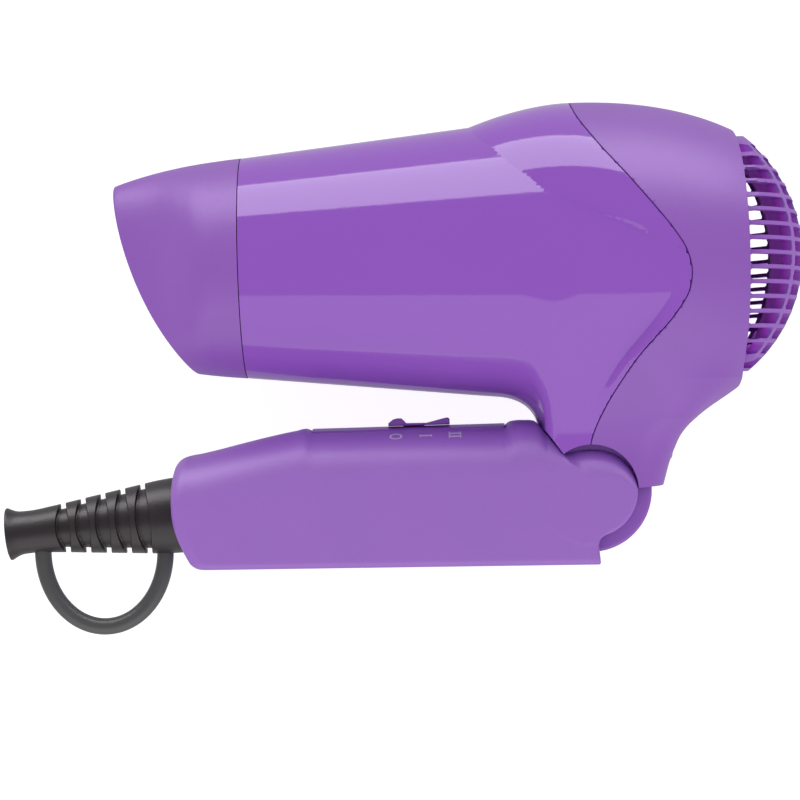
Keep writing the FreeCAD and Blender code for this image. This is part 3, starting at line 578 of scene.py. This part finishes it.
def tree_node(tree, kind, settings=None, **sockets):
    """One geometry node; its sockets take values, or links from other nodes' outputs."""
    node = tree.nodes.new(kind)
    for key, value in (settings or {}).items():
        setattr(node, key, value)
    for label, value in sockets.items():
        socket = next(s for s in node.inputs if s.name.replace(" ", "_") == label and s.enabled)
        if isinstance(value, bpy.types.NodeSocket):
            tree.links.new(value, socket)
        else:
            socket.default_value = value
    return node


def grown(name, tree, source, body, material, *nodes, smooth_angle=40):
    """Runs a geometry tree on a source mesh and keeps the result as a plain mesh."""
    holder = bpy.data.objects.new(name + "_source", source)
    bpy.context.scene.collection.objects.link(holder)
    modifier = holder.modifiers.new("grow", "NODES")
    modifier.node_group = tree
    for item in tree.interface.items_tree:
        if item.in_out == "INPUT" and item.socket_type == "NodeSocketFloat":
            modifier[item.identifier] = item.default_value
    depsgraph = bpy.context.evaluated_depsgraph_get()
    mesh = bpy.data.meshes.new_from_object(holder.evaluated_get(depsgraph))
    mesh.name = name
    bpy.data.objects.remove(holder)
    work = bmesh.new()
    work.from_mesh(mesh)
    bmesh.ops.remove_doubles(work, verts=work.verts, dist=1e-6)
    bmesh.ops.recalc_face_normals(work, faces=work.faces)
    work.to_mesh(mesh)
    work.free()
    mesh.polygons.foreach_set("use_smooth", np.ones(len(mesh.polygons), bool))
    mesh.set_sharp_from_angle(angle=math.radians(smooth_angle))
    return add_piece(name, mesh, body, material, *nodes)


def path_mesh(name, points):
    mesh = bpy.data.meshes.new(name)
    edges = [(i, i + 1) for i in range(len(points) - 1)]
    mesh.from_pydata([tuple(p) for p in placed(points)], edges, [])
    return mesh


def hanging_loop(material):
    """Moulded loop: a round section swept along a half oval with two short legs."""
    cx, cy = LOOP_CENTRE
    steps = 64
    path = [(cx - LOOP_REACH_X, cy + 3.6, 0)]
    for i in range(steps + 1):
        a = math.pi * (1 + i / steps)
        path.append((cx + LOOP_REACH_X * math.cos(a), cy + LOOP_REACH_Y * math.sin(a), 0))
    path.append((cx + LOOP_REACH_X, cy + 4.6, 0))
    tree = new_tree("swept_wire", Radius=LOOP_WIRE_R / 1000)
    enter = tree.nodes.new("NodeGroupInput")
    leave = tree.nodes.new("NodeGroupOutput")
    line = tree_node(tree, "GeometryNodeMeshToCurve", Mesh=enter.outputs["Geometry"])
    ring = tree_node(tree, "GeometryNodeCurvePrimitiveCircle", Resolution=28,
                     Radius=enter.outputs["Radius"])
    tube = tree_node(tree, "GeometryNodeCurveToMesh", Curve=line.outputs["Curve"],
                     Profile_Curve=ring.outputs["Curve"], Fill_Caps=True)
    real = tree_node(tree, "GeometryNodeRealizeInstances", Geometry=tube.outputs["Mesh"])
    made = tree_node(tree, "GeometryNodeSetMaterial", Geometry=real.outputs["Geometry"],
                     Material=material)
    tree.links.new(made.outputs["Geometry"], leave.inputs["Geometry"])
    return grown("moulded_hanging_loop", tree, path_mesh("loop_path", path), "handle", material,
                 "hanging_loop")


def screw_shape(head_r, head_depth, shank_r, length):
    """Pan-head screw along +Z with a cross recess; its head's underside is on the XY plane."""
    work = bmesh.new()
    rings = ((shank_r * 0.5, -length), (shank_r, -length + shank_r), (shank_r, 0.0), (head_r * 0.92, 0.0),
             (head_r, head_depth * 0.15), (head_r, head_depth * 0.6), (head_r * 0.9, head_depth * 0.88),
             (head_r * 0.72, head_depth))
    count = 24
    turns = [2 * math.pi * i / count for i in range(count)]

    def ring(radii, height):
        return [work.verts.new((r * math.cos(a), r * math.sin(a), height)) for r, a in zip(radii, turns)]

    loops = [ring([radius] * count, height) for radius, height in rings]
    cross = []
    for i, a in enumerate(turns):
        arm_tip = i % 6 == 0
        cross.append(head_r * (0.56 if arm_tip else 0.17 / max(abs(math.sin(2 * a)), 0.5) ** 0.5))
    loops.append(ring(cross, head_depth))
    loops.append(ring([0.6 * arm for arm in cross], head_depth * 0.3))
    for low, high in zip(loops, loops[1:]):
        for i in range(count):
            j = (i + 1) % count
            work.faces.new((low[i], low[j], high[j], high[i]))
    work.faces.new(loops[0][::-1])
    work.faces.new(loops[-1])
    mesh = bpy.data.meshes.new("screw_shape")
    work.to_mesh(mesh)
    work.free()
    return mesh


def set_screws(name, places, rotation, shape, body, material, node):
    """One screw at each place, turned the same way."""
    pattern = bpy.data.objects.new(name + "_pattern", shape)
    bpy.context.scene.collection.objects.link(pattern)
    tree = new_tree(name + "_rows", Size=1.0)
    enter = tree.nodes.new("NodeGroupInput")
    leave = tree.nodes.new("NodeGroupOutput")
    one = tree_node(tree, "GeometryNodeObjectInfo", Object=pattern)
    every = tree_node(tree, "GeometryNodeInstanceOnPoints", Points=enter.outputs["Geometry"],
                      Instance=one.outputs["Geometry"], Rotation=rotation, Scale=enter.outputs["Size"])
    real = tree_node(tree, "GeometryNodeRealizeInstances", Geometry=every.outputs["Instances"])
    made = tree_node(tree, "GeometryNodeSetMaterial", Geometry=real.outputs["Geometry"],
                     Material=material)
    tree.links.new(made.outputs["Geometry"], leave.inputs["Geometry"])
    points = bpy.data.meshes.new(name + "_places")
    points.from_pydata([tuple(p) for p in placed(places)], [], [])
    piece = grown(name, tree, points, body, material, node, smooth_angle=30)
    bpy.data.objects.remove(pattern)
    return piece


# ---------------------------------------------------------------- finishes
class Wire:
    """A shader socket that Python arithmetic adds Math nodes to."""

    def __init__(self, tree, socket):
        self.tree, self.socket = tree, socket

    def math(self, operation, *others):
        node = self.tree.nodes.new("ShaderNodeMath")
        node.operation = operation
        for socket, value in zip(node.inputs, (self, *others)):
            plug(self.tree, socket, value)
        return Wire(self.tree, node.outputs[0])

    def __add__(self, other):
        return self.math("ADD", other)

    def __sub__(self, other):
        return self.math("SUBTRACT", other)

    def __mul__(self, other):
        return self.math("MULTIPLY", other)

    def __rsub__(self, other):
        return self.math("MULTIPLY", -1).math("ADD", other)

    def __lt__(self, other):
        return self.math("LESS_THAN", other)

    def __gt__(self, other):
        return self.math("GREATER_THAN", other)

    def __abs__(self):
        return self.math("ABSOLUTE")

    def most(self, other):
        return self.math("MAXIMUM", other)

    __radd__ = __add__
    __rmul__ = __mul__


def plug(tree, socket, value):
    if isinstance(value, Wire):
        tree.links.new(value.socket, socket)
    else:
        socket.default_value = value


class Finish:
    """A material built round one Principled shader."""

    def __init__(self, name, color, roughness, **numbers):
        self.material = bpy.data.materials.new(name)
        self.material.use_nodes = True
        self.tree = self.material.node_tree
        self.shader = self.tree.nodes["Principled BSDF"]
        self.set("Base Color", (*color, 1.0))
        self.set("Roughness", roughness)
        for label, value in numbers.items():
            self.set(label.replace("_", " "), value)

    def set(self, label, value):
        plug(self.tree, self.shader.inputs[label], value)

    def node(self, kind, settings=None, out=0, **sockets):
        made = self.tree.nodes.new(kind)
        for key, value in (settings or {}).items():
            setattr(made, key, value)
        for label, value in sockets.items():
            socket = next(s for s in made.inputs if s.name.replace(" ", "_") == label and s.enabled)
            plug(self.tree, socket, value)
        return Wire(self.tree, made.outputs[out])

    def place(self):
        """X, Y and Z in the row frame, in metres."""
        where = self.node("ShaderNodeTexCoord", out="Object")
        made = self.tree.nodes.new("ShaderNodeSeparateXYZ")
        plug(self.tree, made.inputs[0], where)
        return [Wire(self.tree, made.outputs[k]) for k in range(3)]

    def grain(self, scale, detail=3.0, rough=0.55):
        where = self.node("ShaderNodeTexCoord", out="Object")
        return self.node("ShaderNodeTexNoise", {"noise_dimensions": "3D"}, Vector=where, Scale=scale,
                         Detail=detail, Roughness=rough)

    def cells(self, scale):
        where = self.node("ShaderNodeTexCoord", out="Object")
        return self.node("ShaderNodeTexVoronoi", {"feature": "F1"}, Vector=where, Scale=scale)

    def mix(self, factor, first, second):
        """Blends two colours."""
        made = self.tree.nodes.new("ShaderNodeMix")
        made.data_type = "RGBA"
        plug(self.tree, made.inputs["Factor"], factor)
        for label, value in (("A", first), ("B", second)):
            socket = [s for s in made.inputs if s.name == label and s.type == "RGBA"][0]
            plug(self.tree, socket, (*value, 1.0) if isinstance(value, tuple) else value)
        return Wire(self.tree, [s for s in made.outputs if s.type == "RGBA"][0])

    def bump(self, height, depth):
        """Raises the surface by height times depth, in metres."""
        self.set("Normal", self.node("ShaderNodeBump", Height=height, Distance=depth, Strength=1.0))


def band(value, low, high):
    """1 between low and high, else 0."""
    return (value > low) * (value < high)


LILAC = (0.29, 0.10, 0.52)
GRIP_LILAC = (0.335, 0.135, 0.58)
VIOLET = (0.30, 0.10, 0.555)
# painted bounce light: paler, deeper purple for the inside of the inlet dome
DOME_PAINTED_BOUNCE = (0.46, 0.07, 0.66)
PRINT = (0.56, 0.50, 0.64)
MARK_Y = -40.25
MARK_COLUMNS = (-43.3, -36.4, -29.7)


def gloss_purple():
    """Polished casing with a faint waviness."""
    finish = Finish("polished_purple_casing", VIOLET, 0.07, Specular_IOR_Level=0.5)
    cloud = finish.grain(28.0, 2.0)
    finish.set("Base Color", finish.mix(cloud, VIOLET, tuple(0.95 * c for c in VIOLET)))
    finish.set("Roughness", 0.05 + finish.grain(220.0, 4.0) * 0.05)
    finish.bump(finish.grain(160.0, 2.0), 0.000006)
    return finish.material


def spark_finish(finish, roughness):
    """Fine spark-eroded texture of a satin moulding."""
    finish.set("Roughness", roughness - 0.05 + finish.grain(900.0, 4.0) * 0.12)
    finish.bump(finish.grain(3200.0, 3.0) + finish.cells(2600.0) * 0.5, 0.000022)


def satin_purple(name="satin_purple_casing", color=LILAC, roughness=0.42):
    finish = Finish(name, color, roughness, Specular_IOR_Level=0.42)
    deep = tuple(0.9 * c for c in color)
    finish.set("Base Color", finish.mix(finish.grain(60.0, 3.0), deep, color))
    spark_finish(finish, roughness)
    return finish.material


def grille_purple():
    """Satin purple with painted bounce light: inside the dome it is a paler, deeper purple that stands in for
    light bouncing round the hollow.
    """
    finish = Finish("satin_purple_grille", LILAC, 0.42, Specular_IOR_Level=0.42)
    x, y, z = finish.place()
    ax = x * 1000 - float(BARREL_AXIS[0] + DOME_X)
    ay = y * 1000 - float(BARREL_AXIS[1])
    az = z * 1000 - float(BARREL_AXIS[2])
    rho = (ay * ay + az * az).math("POWER", 0.5)
    reach = (ax * ax + rho * rho).math("POWER", 0.5)
    # painted bounce light: surfaces inside the dome take the paler purple in place of light bouncing in the hollow
    finish.set("Base Color", finish.mix((reach < 34.2) * (rho < 27.2), LILAC, DOME_PAINTED_BOUNCE))
    spark_finish(finish, 0.42)
    return finish.material


def handle_purple():
    """Satin purple with the switch positions printed on the side."""
    finish = Finish("satin_purple_handle", GRIP_LILAC, 0.42, Specular_IOR_Level=0.5)
    x, y, z = finish.place()
    left = (z * 1000 - float(BARREL_AXIS[2])) > 4.0
    mark = None
    for bars, column in enumerate(MARK_COLUMNS):
        u = abs(x * 1000 - float(BARREL_AXIS[0] + column))
        v = y * 1000 - float(BARREL_AXIS[1] + MARK_Y)
        if bars == 0:
            ring = (u * 0.72).math("POWER", 2) + (abs(v) * 1.75).math("POWER", 2)
            shape = band(ring, 0.6, 1.15)
        else:
            shape = band(u, 1.2, 1.42) * (abs(v) < 0.28 + 0.4 * (bars - 1))
            for i in range(bars):
                middle = 0.66 * (i - (bars - 1) / 2)
                shape = shape.most(band(v, middle - 0.13, middle + 0.13) * (u < 1.3))
        mark = shape if mark is None else mark.most(shape)
    deep = tuple(0.93 * c for c in GRIP_LILAC)
    skin = finish.mix(finish.grain(60.0, 3.0), deep, GRIP_LILAC)
    finish.set("Base Color", finish.mix(mark * left, skin, PRINT))
    spark_finish(finish, 0.42)
    return finish.material


def rubber(name, color, roughness, scale=1500.0):
    """Rubber with paler, worn patches."""
    finish = Finish(name, color, roughness, Specular_IOR_Level=0.5)
    worn = tuple(min(1.0, 1.5 * c + 0.004) for c in color)
    finish.set("Base Color", finish.mix(finish.grain(90.0, 4.0), color, worn))
    finish.set("Roughness", roughness - 0.06 + finish.grain(500.0, 3.0) * 0.14)
    finish.bump(finish.grain(scale, 3.0), 0.00003)
    return finish.material


def moulded(name, color, roughness=0.5):
    """Plain moulded plastic, epoxy or board."""
    finish = Finish(name, color, roughness)
    pale = tuple(min(1.0, 1.2 * c + 0.005) for c in color)
    finish.set("Base Color", finish.mix(finish.grain(120.0, 3.0), color, pale))
    finish.set("Roughness", roughness - 0.05 + finish.grain(700.0, 3.0) * 0.1)
    finish.bump(finish.grain(2400.0, 2.0), 0.000015)
    return finish.material


def metal(name, color, roughness=0.32):
    """Drawn or pressed metal with dull patches."""
    finish = Finish(name, color, roughness, Metallic=1.0)
    dull = tuple(0.82 * c for c in color)
    finish.set("Base Color", finish.mix(finish.grain(300.0, 4.0), dull, color))
    finish.set("Roughness", roughness - 0.08 + finish.grain(1500.0, 3.0) * 0.16)
    finish.bump(finish.grain(2600.0, 2.0), 0.000008)
    return finish.material


def sheet_mica():
    """Pressed flakes, buff and slightly silvery."""
    finish = Finish("pressed_mica", (0.60, 0.52, 0.40), 0.4)
    flakes = finish.cells(700.0)
    finish.set("Base Color", finish.mix(flakes, (0.50, 0.43, 0.33), (0.70, 0.63, 0.52)))
    finish.set("Roughness", 0.3 + flakes * 0.3)
    finish.bump(flakes, 0.00003)
    return finish.material


def sleeved_lead():
    """Woven fibreglass sleeving."""
    finish = Finish("fibreglass_sleeve", (0.74, 0.73, 0.68), 0.7)
    weave = finish.grain(2600.0, 2.0)
    finish.set("Base Color", finish.mix(weave, (0.62, 0.61, 0.56), (0.80, 0.79, 0.75)))
    finish.set("Roughness", 0.6 + weave * 0.2)
    finish.bump(weave, 0.00006)
    return finish.material


# ---------------------------------------------------------------- the pieces
def build_pieces():
    """Makes every piece; carved_piece() takes the region and the cell size in millimetres."""
    gloss, satin, handle_skin_finish = gloss_purple(), satin_purple(), handle_purple()
    trim = satin_purple("semigloss_purple_switch", (0.25, 0.075, 0.47), 0.3)
    steel, dark = metal("bright_steel", (0.62, 0.62, 0.64)), moulded("black_plastic", (0.02, 0.02, 0.022))
    mica, lead = sheet_mica(), sleeved_lead()
    fine = 1.0

    carved_piece("glossy_front_shell", front_shell, (-79, -61, -38), (25, 38, 38), 0.82 * fine,
                 "housing", gloss, "front_shell")
    carved_piece("matt_rear_shell", rear_shell, (-5, -61, -38), (39, 38, 38), 0.72 * fine,
                 "housing", satin, "rear_shell")
    carved_piece("fold_knuckle", knuckle, (-14.5, -69.5, -14), (17, -35.5, 14), 0.55 * fine,
                 "housing", satin, "hinge_knuckle")
    carved_piece("slotted_inlet", inlet_grille, (31.5, -29, -29), (54.5, 29, 29), 0.42 * fine,
                 "housing", grille_purple(), "inlet_grille")
    carved_piece("outlet_guard", outlet_grille, (-85, -25, -25), (-67, 25, 25), 0.5 * fine,
                 "housing", dark, "outlet_grille")
    carved_piece("slanting_nozzle", nozzle, (-109, -27, -27), (-77, 27, 27), 0.55 * fine,
                 "nozzle", satin, "nozzle")
    carved_piece("handle_near_half", handle_near, (-98.5, -73.5, -1), (12.5, -36, 18.5), 0.6 * fine,
                 "handle", handle_skin_finish, "handle_shell_near")
    carved_piece("handle_far_half", handle_far, (-98.5, -73.5, -18.5), (12.5, -36, 1), 0.6 * fine,
                 "handle", handle_skin_finish, "handle_shell_far")
    carved_piece("thumb_slider", slider, (-46, -48, -6), (-29.5, -35, 6), 0.24 * fine,
                 "slider", trim, "switch_slider")
    carved_piece("switch_surround", bezel, (-64, -40.5, -9), (-16.5, -37.2, 9), 0.35 * fine,
                 "handle", trim, "switch_bezel")
    guard_rubber = rubber("brown_black_rubber", (0.022, 0.016, 0.020), 0.36)
    carved_piece("ribbed_cord_guard", cord_guard, (-138, -71, -10), (-89, -47, 10), 0.36 * fine,
                 "handle", guard_rubber, "strain_relief")
    hanging_loop(rubber("grey_black_rubber", (0.062, 0.062, 0.065), 0.36))

    sunk = [(sx, sy, SCREW_SEAT_Z) for sx, sy in SCREWS]
    set_screws("handle_cross_screws", sunk, (math.pi, 0, 0), screw_shape(0.0025, 0.0023, 0.0013, 0.0205),
               "handle", steel, "handle_screws")
    set_screws("neck_cross_screw", [(NECK_SCREW_SEAT_X, NECK_SCREW_Y, 0)], (0, math.pi / 2, 0),
               screw_shape(0.0026, 0.001, 0.0013, 0.0102), "housing", steel, "neck_screw")

    copper = metal("enamelled_copper", (0.72, 0.36, 0.2), 0.4)
    plain = {
        "clamp_screws": steel, "nozzle_snap_ring": steel,
        "motor_can": steel, "motor_shaft": steel, "thermostat": steel, "thermal_fuse": steel,
        "heater_coils": metal("oxidised_heater_wire", (0.36, 0.32, 0.30), 0.45),
        "armature": copper, "motor_bushes": metal("sintered_bronze", (0.62, 0.42, 0.2), 0.5),
        "fan_stator": dark, "motor_end_cap": dark, "switch_module": dark,
        "fan_impeller": moulded("black_fan_plastic", (0.028, 0.028, 0.03), 0.4),
        "rectifier_diodes": moulded("black_epoxy", (0.012, 0.012, 0.012), 0.3),
        "motor_magnets": moulded("ferrite", (0.05, 0.05, 0.055), 0.6),
        "motor_brushes": moulded("carbon", (0.03, 0.03, 0.03), 0.7),
        "noise_capacitor": moulded("dipped_film", (0.55, 0.2, 0.04), 0.25),
        "rectifier_board": moulded("phenolic_board", (0.3, 0.19, 0.07), 0.5),
        "switch_board": moulded("phenolic_switch_board", (0.3, 0.19, 0.07), 0.5),
        "mica_sleeve": mica, "mica_cross": mica, "body_wiring": lead, "handle_wiring": lead,
        "hinge_washers": moulded("natural_acetal", (0.78, 0.76, 0.7), 0.45),
        "cord_clamp": moulded("natural_nylon", (0.72, 0.71, 0.66), 0.5),
    }
    for body, members in frame["record"]["behaviour"]["bodies"].items():
        for node in members:
            if node in plain:
                polished(node, body, plain[node], lowest=-68.4 if node == "cord_clamp" else -100.0)


# ---------------------------------------------------------------- light, floor and camera
def softbox(name, middle, target, width, height, radiance):
    """Panel of even brightness, which shows in the gloss but adds no direct light of its own."""
    data = bpy.data.lights.new(name, "AREA")
    data.shape = "RECTANGLE"
    data.size, data.size_y, data.energy = width, height, radiance * math.pi * width * height
    lamp = bpy.data.objects.new(name, data)
    bpy.context.scene.collection.objects.link(lamp)
    lamp.visible_diffuse = False
    lamp.location = middle
    lamp.rotation_mode = "QUATERNION"
    lamp.rotation_quaternion = (Vector(middle) - Vector(target)).to_track_quat("Z", "Y")
    return lamp


def studio_air():
    """White all round for matt surfaces, and dim in the gloss."""
    world = bpy.data.worlds.new("studio_air")
    world.use_nodes = True
    tree = world.node_tree
    path = tree.nodes.new("ShaderNodeLightPath")
    gloss = Wire(tree, path.outputs["Is Glossy Ray"])
    sky = tree.nodes["Background"]
    sky.inputs["Color"].default_value = (1.0, 1.0, 1.0, 1.0)
    plug(tree, sky.inputs["Strength"], 0.95 - gloss * 0.8)
    return world


def set_the_stage():
    """Pale floor, two soft panels, white air, and the camera straight above the left side."""
    scene = bpy.context.scene
    scene.view_settings.view_transform = "Standard"
    scene.world = studio_air()

    floor_mesh = bpy.data.meshes.new("pale_floor")
    reach = 6.0
    floor_mesh.from_pydata([(-reach, -reach, -0.0004), (reach, -reach, -0.0004),
                            (reach, reach, -0.0004), (-reach, reach, -0.0004)], [], [(0, 1, 2, 3)])
    floor = bpy.data.objects.new("pale_floor", floor_mesh)
    scene.collection.objects.link(floor)
    pale = Finish("pale_floor", (0.35, 0.35, 0.35), 0.8, Specular_IOR_Level=0.1)
    in_gloss = pale.node("ShaderNodeLightPath", out="Is Glossy Ray")
    white, dimmed = (1.0, 1.0, 1.0), (0.294, 0.294, 0.294)
    pale.set("Emission Color", pale.mix(in_gloss, white, dimmed))
    pale.set("Emission Strength", 0.85)
    floor_mesh.materials.append(pale.material)

    middle = placed((-25, -10, 0))
    softbox("upper_panel", (middle[0], middle[1] + 0.62, middle[2] + 0.20), middle, 1.6, 0.46, 4.5)
    softbox("lower_panel", (middle[0], middle[1] - 0.75, middle[2] + 0.42), middle, 1.8, 1.0, 1.1)

    lens = bpy.data.cameras.new("side_camera")
    lens.lens = 104.6
    lens.sensor_width = 36.0
    lens.clip_start, lens.clip_end = 0.05, 20.0
    camera = bpy.data.objects.new("side_camera", lens)
    scene.collection.objects.link(camera)
    camera.location = placed((-42.1, -31.9, 546.0))
    camera.rotation_euler = (0, 0, math.radians(-1.7))
    scene.camera = camera


build_pieces()
set_the_stage()
